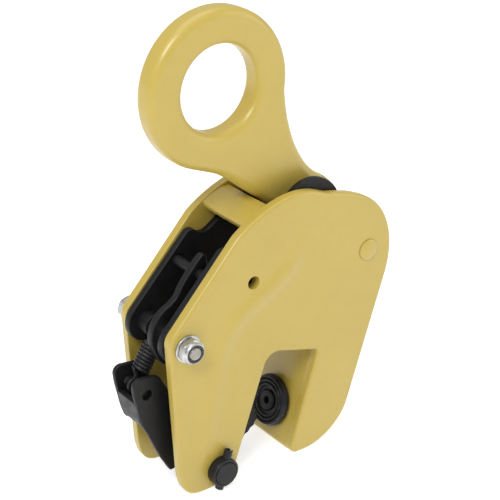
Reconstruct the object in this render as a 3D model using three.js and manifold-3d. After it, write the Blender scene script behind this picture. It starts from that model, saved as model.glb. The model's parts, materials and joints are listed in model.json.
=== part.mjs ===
// Vertical plate lifting clamp, standing on its feet: X runs along the side plates,
// Y through the thickness, Z up. Millimetres. The ground touches both feet at Z = 0.
import * as THREE from 'three';
import { mergeVertices } from 'three/addons/utils/BufferGeometryUtils.js';
import Module from 'manifold-3d';

const wasm = await Module();
wasm.setup();

const LIFT = 2.2; // the outlines below were laid out with the feet at z = -2.2
const root = new THREE.Group();

// ---------- pivot axes, all parallel to Y ----------
const B = [-75, 123 + LIFT]; // rocker pivot bolt
const K = [-48, 12.4 + LIFT]; // cam pin
const R0 = [42, 192.5 + LIFT]; // ring pin
const C = [-28.5, 294.3 + LIFT]; // centre of the lifting eye
const RV = [88.8, 153.5 + LIFT]; // rivet
const L1 = [-65.5, 17.4 + LIFT]; // link, cam end
const L2 = [-13, 131 + LIFT]; // link, rocker end
const V = [-75, 58.2 + LIFT]; // lever pivot
const H = [-97.4, 84.4 + LIFT]; // spring anchor on the lever
const X0 = [-48.6, 164 + LIFT]; // cross pin of the rocker

const INNER = 24.8; // inner faces of the side plates
const OUTER = 32.8; // outer faces

// ---------- helpers ----------
const COLORS = { yellow: 0xd2bc68, black: 0x1c1d20, zinc: 0xb9bcc0, nylon: 0x2a3038 };

function add(name, geometry, color) {
  const bare = geometry.clone();
  for (const a of Object.keys(bare.attributes)) if (a !== 'position') bare.deleteAttribute(a);
  const g = mergeVertices(bare, 1e-4);
  g.computeVertexNormals();
  const mesh = new THREE.Mesh(g, new THREE.MeshStandardMaterial({ color: COLORS[color] }));
  mesh.name = name;
  root.add(mesh);
  return mesh;
}

function solid(geometry) {
  const g = geometry.clone();
  for (const a of Object.keys(g.attributes)) if (a !== 'position') g.deleteAttribute(a);
  const m = mergeVertices(g, 1e-4);
  return new wasm.Manifold(new wasm.Mesh({
    numProp: 3,
    vertProperties: Float32Array.from(m.attributes.position.array),
    triVerts: Uint32Array.from(m.index.array),
  }));
}

function geom(manifold) {
  const m = manifold.getMesh();
  const n = m.numProp;
  const count = m.vertProperties.length / n;
  const p = new Float32Array(count * 3);
  for (let i = 0; i < count; i++) for (let k = 0; k < 3; k++) p[3 * i + k] = m.vertProperties[n * i + k];
  const g = new THREE.BufferGeometry();
  g.setAttribute('position', new THREE.BufferAttribute(p, 3));
  g.setIndex(new THREE.BufferAttribute(Uint32Array.from(m.triVerts), 1));
  g.computeVertexNormals();
  return g;
}

// Polygon with filleted corners. Each vertex is [x, z, r, segments]; r = 0 keeps the point.
function fillet(verts) {
  const out = [];
  const n = verts.length;
  for (let i = 0; i < n; i++) {
    const [x, z, r = 0, seg = 5] = verts[i];
    if (!r) { out.push([x, z]); continue; }
    const a = verts[(i + n - 1) % n], b = verts[(i + 1) % n];
    let ax = a[0] - x, az = a[1] - z, bx = b[0] - x, bz = b[1] - z;
    const la = Math.hypot(ax, az), lb = Math.hypot(bx, bz);
    ax /= la; az /= la; bx /= lb; bz /= lb;
    const half = Math.acos(Math.max(-1, Math.min(1, ax * bx + az * bz))) / 2;
    const t = r / Math.tan(half);
    const mx = ax + bx, mz = az + bz, lm = Math.hypot(mx, mz);
    const d = r / Math.sin(half);
    const cx = x + (mx / lm) * d, cz = z + (mz / lm) * d;
    let a0 = Math.atan2(z + az * t - cz, x + ax * t - cx);
    let a1 = Math.atan2(z + bz * t - cz, x + bx * t - cx);
    let da = a1 - a0;
    while (da > Math.PI) da -= 2 * Math.PI;
    while (da < -Math.PI) da += 2 * Math.PI;
    for (let k = 0; k <= seg; k++) {
      const q = a0 + (da * k) / seg;
      out.push([cx + r * Math.cos(q), cz + r * Math.sin(q)]);
    }
  }
  return out;
}

function arc(c, r, d0, d1, n) {
  const out = [];
  for (let k = 0; k <= n; k++) {
    const q = ((d0 + ((d1 - d0) * k) / n) * Math.PI) / 180;
    out.push([c[0] + r * Math.cos(q), c[1] + r * Math.sin(q)]);
  }
  return out;
}

function circle(c, r, n) {
  return arc(c, r, 0, 360, n).slice(0, n);
}

function shapeOf(points, holes = []) {
  const s = new THREE.Shape(points.map(([x, z]) => new THREE.Vector2(x, z)));
  for (const h of holes) s.holes.push(new THREE.Path(h.map(([x, z]) => new THREE.Vector2(x, z))));
  return s;
}

// Profile in the XZ plane, thickness from y0 to y1, optional rounded edges.
function slab(points, y0, y1, bevel = 0, segs = 2, holes = []) {
  const g = new THREE.ExtrudeGeometry(shapeOf(points, holes), {
    depth: y1 - y0 - 2 * bevel,
    bevelEnabled: bevel > 0,
    bevelThickness: bevel,
    bevelSize: bevel,
    bevelOffset: -bevel,
    bevelSegments: segs,
    steps: 1,
    curveSegments: 1,
  });
  g.translate(0, 0, bevel);
  g.rotateX(Math.PI / 2);
  g.translate(0, y1, 0);
  return g;
}

// Turned piece whose axis is parallel to Y. Profile points are [radius, y].
function turnedY(profile, c, n = 32) {
  const g = new THREE.LatheGeometry(profile.map(([r, y]) => new THREE.Vector2(r, y)), n);
  g.translate(c[0], 0, c[1]);
  return g;
}

function rod(c, r, y0, y1, n = 32, ch = 0.5) {
  return turnedY([[0, y0], [r - ch, y0], [r, y0 + ch], [r, y1 - ch], [r - ch, y1], [0, y1]], c, n);
}

function ringY(c, r0, r1, y0, y1, n = 32) {
  return turnedY([[r0, y0], [r1, y0], [r1, y1], [r0, y1], [r0, y0]], c, n);
}

const up = (pts) => pts.map(([x, z, ...rest]) => [x, z + LIFT, ...rest]);

// ---------- side plates ----------
const plateOutline = fillet(up([
  // left foot, rounded heel and toe
  [-82.9, 24], [-82.2, 17], [-80.9, 11.4], [-79, 6.3], [-76.2, 2.4], [-72.2, -0.4], [-67, -1.9], [-61, -2.2],
  [-46, -2.2], [-41.2, -0.6], [-37, 2.6], [-34.2, 6.6],
  // front edge of the left leg, throat roof, jaw edge
  [-3.1, 95.9, 11, 6], [43.7, 82.5, 3.5, 4], [17.3, -2.2, 6, 4],
  // right foot and long back edge
  [35, -2.2], [42, -1], [49.5, 1.6], [57.5, 5.9], [65, 12.2], [71, 19.6], [74.9, 28.2],
  // shoulder
  [107.4, 129], [109.5, 138.5], [110.4, 148], [110.1, 157], [108.3, 166], [104.9, 175], [99.9, 183.2],
  [93.6, 190], [85.5, 195.8], [77.6, 199.6], [70.7, 202.4], [63, 204.7], [56.4, 206.4],
  // shallow saddle, then the hump over the eye's neck
  [50, 208.4], [43.5, 210.9], [37, 213.2], [29, 214.9], [19.5, 215.3], [10.6, 214.3], [1.8, 212.1], [-6, 209.3],
  [-15.5, 204.9], [-25, 199.4], [-33.5, 192.8],
  // knee
  [-89.7, 131.3, 12, 6],
]));
const plateHoles = () => [
  circle(K, 9.2, 28),
  circle(B, 5.3, 20),
  circle([-17.8, 157 + LIFT], 4.9, 20),
  circle(RV, 6.2, 20),
];
for (const [name, y0, y1] of [['side_plate_near', -OUTER, -INNER], ['side_plate_far', INNER, OUTER]]) {
  add(name, slab(plateOutline, y0, y1, 1.6, 2, plateHoles()), 'yellow');
}

// ---------- cross members of the body ----------
// Bridge: rounded bar welded between the plates under the neck of the eye.
add('bridge', slab(fillet(up([
  [-22.5, 199.2, 3.5, 4], [-17.8, 193, 3.5, 4], [2.5, 195.6, 3.5, 4], [6.4, 200.6, 3, 3], [0.4, 205.4, 4, 4], [-11.5, 204, 18, 3],
])), -INNER + 0.3, INNER - 0.3), 'yellow');

// Jaw block: throat roof and the wall behind the swivel pad, one casting.
const wallDir = [Math.sin((17.3 * Math.PI) / 180), Math.cos((17.3 * Math.PI) / 180)];
const wallN = [-wallDir[1], wallDir[0]]; // into the throat
const padAxis = [28, 28.5 + LIFT]; // where the pad's axis meets the wall face
let jaw = solid(slab(fillet(up([
  [-2.6, 97.6, 6, 4], [44.7, 84.2, 2.5, 3], [19.6, -0.4, 5, 4], [36, -0.8, 5, 3], [49.5, 4.5, 6, 3], [56, 16, 5, 3],
  [74.5, 90.5, 12, 5], [56, 100, 6, 3], [6, 112.6, 5, 4],
])), -INNER + 0.3, INNER - 0.3));
// seat for the pad's bolt, through the wall and square to its face
function alongPad(geometry) {
  // turned pieces are built on +Y with y = distance from the wall face into the throat
  const m = new THREE.Matrix4().makeBasis(
    new THREE.Vector3(0, 1, 0),
    new THREE.Vector3(wallN[0], 0, wallN[1]),
    new THREE.Vector3(0, 1, 0).cross(new THREE.Vector3(wallN[0], 0, wallN[1])),
  );
  geometry.applyMatrix4(m);
  geometry.translate(padAxis[0], 0, padAxis[1]);
  return geometry;
}
function lathe(profile, n = 32) {
  return new THREE.LatheGeometry(profile.map(([r, y]) => new THREE.Vector2(r, y)), n);
}
jaw = jaw.subtract(solid(alongPad(lathe([[0, -60], [6.3, -60], [6.3, 5], [0, 5]], 24))));
jaw = jaw.subtract(solid(alongPad(lathe([[0, -60], [13, -60], [13, -19], [0, -19]], 24))));
add('jaw_block', geom(jaw), 'yellow');

// Riveted spacer at the shoulder.
add('rivet_spacer', ringY(RV, 6.4, 10, -INNER + 0.3, INNER - 0.3, 24), 'yellow');
add('rivet', turnedY([
  [0, -36], [3.5, -35.8], [6.4, -35], [8.2, -33.9], [8.6, -33.05], [6, -33.05], [6, 33.05], [8.6, 33.05],
  [8.2, 33.9], [6.4, 35], [3.5, 35.8], [0, 36],
], RV, 24), 'yellow');

// ---------- lifting eye ----------
const ringOutline = [
  ...arc(C, 57.3, -8, 236, 40),
  ...up([[-52.6, 242.6], [-45, 239.6], [-37.3, 236.6], [-30.2, 233.6], [-24.3, 230], [-18.3, 225.8], [-10.6, 219.6],
    [-1.9, 212.6], [6.1, 206.3], [11.2, 202.2]]),
  ...arc(R0, 28, 167, 388, 22),
  ...up([[63.6, 210.6], [58.8, 214.2], [53.4, 219], [48.3, 224.6], [44.2, 230.6], [40.4, 237.2], [37, 244.2],
    [34.3, 251.8], [32, 259.7], [30.1, 268.2], [28.8, 277.2]]),
];
{
  let ring = solid(slab(ringOutline, -10, 10, 5.6, 3, [circle([C[0] + 0.6, C[1] + 0.6], 31.2, 40)]));
  ring = ring.subtract(solid(turnedY([[0, -20], [9.15, -20], [9.15, 20], [0, 20]], R0, 32)));
  add('lifting_ring', geom(ring), 'yellow');
}

// ---------- rocker: two arms, the centre crank and their pins, turning on the bolt ----------
const armOutline = fillet([
  ...arc(B, 16, 137, 276, 13),
  ...up([[-50, 113.6, 30, 3], [-26, 119.2, 12, 3], [-5, 118.4, 10, 4], [22, 164.5, 30, 3]]),
  ...arc(R0, 27, -70, 160, 24),
  ...up([[8.5, 190.6, 8, 3], [-7.5, 189.8, 9, 3], [-26, 177.4, 9, 3], [-36.6, 186.8, 6, 4]]),
]);
// short slot that takes the link's upper pin
const slotDir = [0.42, 0.9075];
function slotHole(c, r, half, n) {
  const a = (Math.atan2(slotDir[1], slotDir[0]) * 180) / Math.PI;
  const p = [c[0] + slotDir[0] * half, c[1] + slotDir[1] * half];
  const q = [c[0] - slotDir[0] * half, c[1] - slotDir[1] * half];
  return [...arc(p, r, a - 90, a + 90, n), ...arc(q, r, a + 90, a + 270, n)];
}
const armHoles = () => [circle(B, 5.3, 20), circle(R0, 9.15, 28), slotHole(L2, 5.8, 1.6, 8), circle(X0, 4.15, 16)];
add('arm_near', slab(armOutline, -24.2, -18.4, 0.9, 1, armHoles()), 'black');
{
  // the far arm carries a boss that keeps it off the spring's hook
  let far = solid(slab(armOutline, 18.4, 24.2, 0.9, 1, armHoles().slice(1)));
  far = far.add(solid(rod(B, 8.4, 8, 19, 24, 0.6)));
  far = far.subtract(solid(turnedY([[0, 0], [5.3, 0], [5.3, 30], [0, 30]], B, 24)));
  add('arm_far', geom(far), 'black');
}
add('rocker_crank', slab(fillet([
  ...up([[-88, 133.3], [-89.8, 127], [-89.6, 119], [-87.2, 112], [-83.4, 104.6], [-77.4, 99.8], [-70.4, 99],
    [-63.4, 102.8], [-58.8, 110.4], [-57.2, 120.5], [-53, 136, 12, 3], [-41.5, 158, 8, 3], [-41.5, 170, 8, 3], [-42.8, 181, 3, 3],
    [-50.4, 174.2, 3, 3], [-57.6, 166], [-63.4, 158.6], [-68, 150.8, 6, 3], [-72.8, 147], [-78.6, 144], [-84.4, 138.9]]),
]), -10, -4, 0.8, 1, [circle(B, 7.7, 24), circle(X0, 4.15, 16)]), 'black');
add('rocker_cross_pin', rod(X0, 4, -24.1, 24.1, 16), 'black');
add('ring_pin', rod(R0, 9, -24.1, 24.1, 32, 0.8), 'black');
add('ring_washer_near', ringY(R0, 9.3, 15, -18.1, -10.4, 22), 'black');
add('ring_washer_far', ringY(R0, 9.3, 15, 10.4, 18.1, 22), 'black');

// ---------- pivot bolt and its hardware ----------
function hexPoints(c, af, turn = 0) {
  const r = af / 2 / Math.cos(Math.PI / 6);
  return [0, 1, 2, 3, 4, 5].map((i) => {
    const q = turn + (i * Math.PI) / 3;
    return [c[0] + r * Math.cos(q), c[1] + r * Math.sin(q)];
  });
}
{
  const shaft = solid(rod(B, 5, -43.2, 38, 24, 0.8));
  const head = solid(slab(hexPoints(B, 17, 0.2), 37.2, 45.6)).intersect(
    solid(turnedY([[0, 36], [9.9, 36], [9.9, 44], [8.6, 45.6], [0, 45.6]], B, 28)));
  add('pivot_bolt', geom(shaft.add(head)), 'zinc');
  add('bolt_sleeve', ringY(B, 5.25, 7.4, -17.9, -2.4, 24), 'zinc');
  add('bolt_collar_far', ringY(B, 5.25, 11.4, OUTER + 0.15, 37, 32), 'zinc');
  add('bolt_washer_near', ringY(B, 5.25, 10.4, -OUTER - 1.7, -OUTER - 0.15, 32), 'zinc');
  const blank = solid(slab(hexPoints(B, 17, 0.35), -40.4, -OUTER - 1.9)).intersect(
    solid(turnedY([[0, -41], [8.6, -41], [9.75, -39.6], [9.75, -35.2], [9, -34.4], [0, -34.4]], B, 28)));
  const dome = solid(turnedY([[0, -43], [6.4, -43], [7.3, -42.7], [7.9, -41.9], [8.1, -40.5], [8.1, -40], [0, -40]], B, 24));
  const nut = blank.add(dome).subtract(solid(turnedY([[0, -49], [6.9, -49], [6.9, -41.6], [5.25, -41.6], [5.25, -20], [0, -20]], B, 28)));
  add('lock_nut', geom(nut), 'zinc');
  add('nylon_insert', ringY(B, 5.3, 6.75, -42.8, -41.75, 28), 'nylon');
}

// ---------- cam, its pin and its washers ----------
{
  // polar outline about the pin: smooth back, toothed front
  const base = [[-60, 13.4], [-43, 15], [-28, 19.8], [-15, 26.6], [-7, 31.6], [-2, 35.2], [2, 38.4], [6, 42.8], [9.5, 48],
    [12.5, 51.8], [17, 53.8], [23, 54.9], [30, 55.4], [40, 54.4], [48, 51.4], [55, 46], [62, 39.5], [70, 33], [80, 27], [92, 22.5], [106, 20.3], [120, 20]];
  const rad = (d) => {
    for (let i = 0; i + 1 < base.length; i++) {
      const [a, ra] = base[i], [b, rb] = base[i + 1];
      if (d <= b) { const t = (d - a) / (b - a); return ra + (rb - ra) * t; }
    }
    return 20;
  };
  const pts = [];
  const polar = (d, r) => pts.push([K[0] + r * Math.cos((d * Math.PI) / 180), K[1] + r * Math.sin((d * Math.PI) / 180)]);
  for (let d = -60; d < -13; d += 10) polar(d, rad(d));
  // teeth: steep lower flank, gentle upper flank
  let d = -12;
  while (d < 45) {
    const r = rad(d);
    const step = (4.3 / r) * (180 / Math.PI) * (d < 11 ? 0.72 : 1);
    polar(d, r - 2.2);
    polar(d + step * 0.3, rad(d + step * 0.3) + 0.3);
    d += step;
  }
  polar(d, rad(d) - 1.2);
  for (let q = d + 5; q < 120; q += 7) polar(q, rad(q));
  // tail with the clevis for the link
  pts.push(...arc(L1, 9.2, 110, 250, 10));
  pts.push(...arc(K, 13.7, 222, 292, 7));
  let cam = solid(slab(pts, -10.2, 10.2, 0, 1));
  cam = cam.subtract(solid(turnedY([[0, -20], [9.2, -20], [9.2, 20], [0, 20]], K, 36)));
  // clevis slot around the link
  const ray = (deg, side, len) => {
    const q = (deg * Math.PI) / 180;
    return [L1[0] + len * Math.cos(q) - side * 7.2 * Math.sin(q), L1[1] + len * Math.sin(q) + side * 7.2 * Math.cos(q)];
  };
  cam = cam.subtract(solid(slab([...arc(L1, 7.2, 161, 304.5, 12), ray(34.5, -1, 80), ray(71, 1, 80)], -4.4, 4.4)));
  cam = cam.subtract(solid(turnedY([[0, -20], [3.15, -20], [3.15, 20], [0, 20]], L1, 20)));
  add('cam', geom(cam), 'black');
  add('cam_link_pin', rod(L1, 3, -10, 10, 20, 0.5), 'black');
}
{
  const pin = solid(turnedY([
    [0, -41.4], [8, -41.4], [9, -40.6], [9, 33.1], [13.4, 33.1], [13.4, 36.4], [12.6, 37.4], [11, 37.8], [0, 37.8],
  ], K, 32));
  const collar = solid(turnedY([
    [9.2, -40.7], [10.4, -40.7], [11.4, -39.8], [11.4, -33.1], [9.2, -33.1], [9.2, -40.7],
  ], K, 32));
  // cross hole for the roll pin, leaning with the throat
  const lean = (16.5 * Math.PI) / 180;
  const place = (g) => { g.rotateX(Math.PI / 2); g.rotateY(lean); g.translate(K[0], -37, K[1]); return g; };
  const hole = place(lathe([[0, -30], [3.5, -30], [3.5, 30], [0, 30]], 16));
  add('cam_pin', geom(pin.subtract(solid(hole))), 'black');
  add('cam_pin_collar', geom(collar.subtract(solid(hole))), 'black');
  // split spring pin
  const tube = [...arc([0, 0], 3.2, 112, 428, 16), ...arc([0, 0], 1.7, 68 + 360, 112, 10)];
  const roll = new THREE.ExtrudeGeometry(shapeOf(tube), {
    depth: 31, bevelEnabled: true, bevelThickness: 0.5, bevelSize: 0.35, bevelOffset: -0.35, bevelSegments: 1, steps: 1,
  });
  roll.translate(0, 0, -13.6);
  roll.rotateY(lean);
  roll.translate(K[0], -37, K[1]);
  add('roll_pin', roll, 'black');
  add('cam_washer_near', ringY(K, 9.4, 13, -24.4, -10.6, 20), 'black');
  add('cam_washer_far', ringY(K, 9.4, 13, 10.6, 24.4, 20), 'black');
}

// ---------- link between cam and rocker ----------
{
  const [dx, dz] = slotDir;
  const at = (c, along, side) => [c[0] + dx * along - dz * side, c[1] + dz * along + dx * side];
  const a = (Math.atan2(dz, dx) * 180) / Math.PI;
  add('link', slab(fillet([
    ...arc(L1, 6.2, a + 108, a + 252, 9),
    [...at(L1, 11, -4.6), 8, 2], [...at(L2, -16, -5.4), 12, 2],
    ...arc(L2, 8.8, a - 118, a + 118, 12),
    [...at(L2, -16, 5.4), 12, 2], [...at(L1, 11, 4.6), 8, 2],
  ]), -4, 4, 0.7, 1, [circle(L1, 3.15, 20), circle(L2, 4.95, 20)]), 'black');
}
add('link_rocker_pin', rod(L2, 4.8, -24.1, 24.1, 20, 0.5), 'black');

// ---------- lock lever ----------
{
  const top = [[-109.6, 99.8, 6, 6], [-108.4, 88], [-106.2, 77], [-102.2, 60.4]];
  const inner = [[-63.5, 46, 8, 3], [-62.5, 64, 9, 4], [-78.4, 80, 10, 3], [-87.6, 97.2, 8, 4]];
  const nearCheek = fillet(up([...top, [-97.2, 49.7], [-92.2, 38], [-87.2, 27], [-79.4, 13.2, 2.5, 4], [-73.8, 14.6, 3, 3], [-71, 27], ...inner]));
  // the far cheek stops below the web
  const farCheek = fillet(up([...top, [-100.4, 55.4, 3, 3], [-88, 46.4, 8, 3], [-75, 43.5, 14, 4], ...inner]));
  const holes = () => [circle(H, 4.1, 20), circle(V, 5.15, 20)];
  let lever = solid(slab(nearCheek, -14.5, -10.7, 0.9, 1, holes()));
  lever = lever.add(solid(slab(farCheek, 10.7, 14.5, 0.9, 1, holes())));
  // web joining the cheeks along the outer edge, below the spring hook
  lever = lever.add(solid(slab(up([[-106.8, 79], [-105.4, 72.8], [-102, 59.4], [-100.2, 56.2], [-96.8, 58.2], [-98.4, 62],
    [-101.6, 74], [-102.8, 79.8]]), -12.5, 12.5)));
  add('lock_lever', geom(lever), 'black');
  add('spring_pin', turnedY([[0, -10.3], [4, -10.3], [4, -5], [3, -4], [3, 9.8], [2.4, 10.4], [0, 10.4]], H, 20), 'black');
  add('lever_pin', rod(V, 5, -INNER + 0.3, INNER - 0.3, 20, 0.5), 'black');
}

// ---------- tension spring from the lever to the bolt ----------
function wire(points, r, sides, steps, name, color) {
  const curve = new THREE.CatmullRomCurve3(points, false, 'centripetal');
  const shape = new THREE.Shape(circle([0, 0], r, sides).map(([x, z]) => new THREE.Vector2(x, z)));
  add(name, new THREE.ExtrudeGeometry(shape, { steps, bevelEnabled: false, extrudePath: curve }), color);
}
{
  const y0 = 3.3, rc = 5.9, rw = 1.2, turns = 8;
  const a = new THREE.Vector3(H[0], y0, H[1]), b = new THREE.Vector3(B[0], y0, B[1]);
  const w = b.clone().sub(a); const len = w.length(); w.normalize();
  const u = new THREE.Vector3(0, 1, 0); const v = new THREE.Vector3().crossVectors(w, u);
  const at = (s, p, q) => a.clone().addScaledVector(w, s).addScaledVector(u, p).addScaledVector(v, q);
  const pts = [];
  const s0 = 11.2, s1 = len - 11.8;
  // lower hook around the lever's pin, open towards the coil
  const rh = 4.6;
  for (let k = 0; k <= 8; k++) {
    const q = (-150 + k * (300 / 8)) * Math.PI / 180; // sweeps round the far side of the pin
    pts.push(at(-rh * Math.cos(q), 0.25 * (k - 4) / 4, rh * Math.sin(q)));
  }
  pts.push(at(8, 0.2, 2.6));
  const n = Math.round(turns * 9);
  for (let k = 0; k <= n; k++) {
    const f = k / n; const q = f * turns * 2 * Math.PI;
    pts.push(at(s0 + (s1 - s0) * f, rc * Math.sin(q), rc * Math.cos(q)));
  }
  pts.push(at(len - 8.6, 0.2, 4));
  const rB = 6.7;
  for (let k = 0; k <= 8; k++) {
    const q = (148 - k * (296 / 8)) * Math.PI / 180;
    pts.push(at(len + rB * Math.cos(q), -0.25 * (k - 4) / 4, rB * Math.sin(q)));
  }
  wire(pts, rw, 6, Math.round(pts.length * 1.15), 'tension_spring', 'black');
}

// ---------- swivel pad ----------
{
  // y = distance out from the wall face
  const prof = [[6.2, 1], [10, 1], [10, 1.8], [16.8, 1.8], [19.2, 2.4], [20.4, 3.6], [20.4, 5.8], [19.6, 7]];
  let r = 18.9;
  while (r > 11) { prof.push([r, 9.4]); prof.push([r - 1.1, 9.4]); prof.push([r - 2.1, 7.3]); r -= 3; }
  prof.push([8.6, 7.3], [8.6, 5.4], [6.2, 5.4], [6.2, 1]);
  add('swivel_pad', alongPad(lathe(prof, 30)), 'black');
  add('pad_bolt', alongPad(lathe([[0, -29.2], [4.9, -29.2], [5.6, -28.6], [5.6, 5.7], [7.9, 5.7], [7.9, 8], [7.2, 8.8], [0, 8.8]].map(([q, y]) => [q, y]), 28)), 'black');
  add('pad_washer', alongPad(lathe([[5.9, -20.9], [11.6, -20.9], [11.6, -19.3], [5.9, -19.3], [5.9, -20.9]], 28)), 'zinc');
  let nut = solid(alongPad((() => {
    const g = new THREE.ExtrudeGeometry(shapeOf(hexPoints([0, 0], 18)), { depth: 7.6, bevelEnabled: false, steps: 1 });
    g.rotateX(Math.PI / 2); g.translate(0, -21.1, 0); return g;
  })())).intersect(solid(alongPad(lathe([[0, -29], [9, -29], [10.3, -27.6], [10.3, -22.2], [9.4, -21], [0, -21]], 36))));
  nut = nut.subtract(solid(alongPad(lathe([[0, -40], [5.85, -40], [5.85, 0], [0, 0]], 28))));
  add('pad_nut', geom(nut), 'zinc');
}

// The origin is the centre of the bounding box's bottom face.
{
  const box = new THREE.Box3().setFromObject(root);
  const c = box.getCenter(new THREE.Vector3());
  for (const mesh of root.children) mesh.geometry.translate(-c.x, -c.y, -box.min.z);
}

export default root;
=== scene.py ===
import json
import math

import bmesh
import bpy
import numpy as np
from mathutils import Matrix, Vector
from mathutils.geometry import delaunay_2d_cdt


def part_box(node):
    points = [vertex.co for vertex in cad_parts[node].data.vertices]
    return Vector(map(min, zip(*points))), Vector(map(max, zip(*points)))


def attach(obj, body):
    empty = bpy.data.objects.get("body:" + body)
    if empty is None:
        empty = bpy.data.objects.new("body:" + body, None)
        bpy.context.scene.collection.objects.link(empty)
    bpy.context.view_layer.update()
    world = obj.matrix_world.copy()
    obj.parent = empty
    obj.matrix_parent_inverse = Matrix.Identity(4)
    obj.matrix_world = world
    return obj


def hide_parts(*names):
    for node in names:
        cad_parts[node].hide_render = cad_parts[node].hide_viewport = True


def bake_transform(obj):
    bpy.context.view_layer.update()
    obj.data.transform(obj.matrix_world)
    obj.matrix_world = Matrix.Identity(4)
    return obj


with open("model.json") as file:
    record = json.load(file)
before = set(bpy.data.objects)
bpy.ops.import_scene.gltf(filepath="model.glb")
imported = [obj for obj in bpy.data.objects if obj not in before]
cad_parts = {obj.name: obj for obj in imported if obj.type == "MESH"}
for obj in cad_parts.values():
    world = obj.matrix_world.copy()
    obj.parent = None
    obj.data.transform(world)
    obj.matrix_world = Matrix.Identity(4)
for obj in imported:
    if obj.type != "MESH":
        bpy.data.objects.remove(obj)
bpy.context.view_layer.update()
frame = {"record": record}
scene = bpy.context.scene
body_of_node = {n: b for b, ns in frame["record"]["behaviour"]["bodies"].items() for n in ns}

# Pieces are laid out in millimetres in the same layout as the CAD: X along the side plates, Y through
# the thickness from the mid-plane, Z up. The riveted spacer is centred on (88.8, 0, 155.7) there, which
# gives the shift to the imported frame.
LIFT = 2.2
_lo, _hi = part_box("rivet_spacer")
SHIFT = np.array((_lo + _hi) / 2) * 1000 - np.array([88.8, 0.0, 153.5 + LIFT])

B = (-75.0, 123 + LIFT)
K = (-48.0, 12.4 + LIFT)
R0 = (42.0, 192.5 + LIFT)
C = (-28.5, 294.3 + LIFT)
RV = (88.8, 153.5 + LIFT)
L1 = (-65.5, 17.4 + LIFT)
L2 = (-13.0, 131 + LIFT)
V = (-75.0, 58.2 + LIFT)
H = (-97.4, 84.4 + LIFT)
X0 = (-48.6, 164 + LIFT)
INNER, OUTER = 24.8, 32.8


# ------------------------------------------------------------------ outlines
def up(points):
    return [(p[0], p[1] + LIFT, *p[2:]) for p in points]


def arc(c, r, d0, d1, n):
    q = np.radians(np.linspace(d0, d1, n + 1))
    return [(c[0] + r * math.cos(a), c[1] + r * math.sin(a)) for a in q]


def circle(c, r, n=64):
    return arc(c, r, 0, 360, n)[:n]


def unit(v):
    n = np.linalg.norm(v, axis=-1, keepdims=True)
    return v / np.maximum(n, 1e-12)


def outline(verts, step=1.6, straight=13.0, deg=6.0):
    """Closed outline. A vertex is (x, z) or (x, z, r): r rounds a corner, and runs of plain points are joined by a smooth curve where they lie close together."""
    raw = []
    n = len(verts)
    for i, v in enumerate(verts):
        p = np.array(v[:2], float)
        r = v[2] if len(v) > 2 else 0
        if not r:
            raw.append((p, True))
            continue
        a = unit(np.array(verts[i - 1][:2], float) - p)
        b = unit(np.array(verts[(i + 1) % n][:2], float) - p)
        half = math.acos(max(-1, min(1, float(a @ b)))) / 2
        t, d = r / math.tan(half), r / math.sin(half)
        c = p + unit(a + b) * d
        s, e = p + a * t - c, p + b * t - c
        a0, a1 = math.atan2(s[1], s[0]), math.atan2(e[1], e[0])
        da = (a1 - a0 + math.pi) % (2 * math.pi) - math.pi
        m = max(2, int(round(abs(math.degrees(da)) / deg)))
        for k in range(m + 1):
            q = a0 + da * k / m
            raw.append((c + r * np.array([math.cos(q), math.sin(q)]), False))
    n = len(raw)
    pts = np.array([p for p, _ in raw])
    plain = [f for _, f in raw]
    seg = np.roll(pts, -1, 0) - pts
    ln = np.linalg.norm(seg, axis=1)
    tan = np.zeros_like(pts)
    for i in range(n):
        d0, d1, l0, l1 = seg[i - 1], seg[i], ln[i - 1], ln[i]
        long0, long1 = l0 > straight, l1 > straight
        if long0 and not long1:
            tan[i] = d0 / l0
        elif long1 and not long0:
            tan[i] = d1 / l1
        else:
            tan[i] = unit(d0 / l0**2 + d1 / l1**2) if l0 > 1e-6 and l1 > 1e-6 else unit(d0 + d1)
    out = []
    for i in range(n):
        j = (i + 1) % n
        if ln[i] < 1e-4:
            continue
        out.append(pts[i])
        if plain[i] and plain[j] and ln[i] <= straight:
            m = max(1, int(math.ceil(ln[i] / step)))
            for k in range(1, m):
                t = k / m
                h1, h2 = 2 * t**3 - 3 * t**2 + 1, t**3 - 2 * t**2 + t
                h3, h4 = -2 * t**3 + 3 * t**2, t**3 - t**2
                out.append(h1 * pts[i] + h2 * ln[i] * tan[i] + h3 * pts[j] + h4 * ln[i] * tan[j])
    return split_long(out, 4.0)


def split_long(points, longest):
    out = []
    for i, p in enumerate(points):
        q = np.array(points[(i + 1) % len(points)], float)
        p = np.array(p, float)
        m = max(1, int(math.ceil(np.linalg.norm(q - p) / longest)))
        out += [p + (q - p) * k / m for k in range(m)]
    return np.array(out)


def ccw(loop):
    p = np.array(loop, float)
    area = np.sum(p[:, 0] * np.roll(p[:, 1], -1) - np.roll(p[:, 0], -1) * p[:, 1])
    return p if area > 0 else p[::-1].copy()


def inset(loop, d):
    """Moves a loop to its left by d."""
    t1 = unit(loop - np.roll(loop, 1, 0))
    t2 = unit(np.roll(loop, -1, 0) - loop)
    n1 = np.stack([-t1[:, 1], t1[:, 0]], 1)
    n2 = np.stack([-t2[:, 1], t2[:, 0]], 1)
    n = unit(n1 + n2)
    k = 1 / np.clip(np.sum(n * n1, 1), 0.55, 1)
    return loop + n * (d * k)[:, None]


def inside(points, loop):
    x, y = points[:, 0][:, None], points[:, 1][:, None]
    a, b = loop, np.roll(loop, -1, 0)
    cross = (a[:, 1] > y) != (b[:, 1] > y)
    with np.errstate(divide="ignore", invalid="ignore"):
        xs = (b[:, 0] - a[:, 0]) * (y - a[:, 1]) / (b[:, 1] - a[:, 1]) + a[:, 0]
    return (np.sum(cross & (x < xs), 1) % 2) == 1


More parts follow.
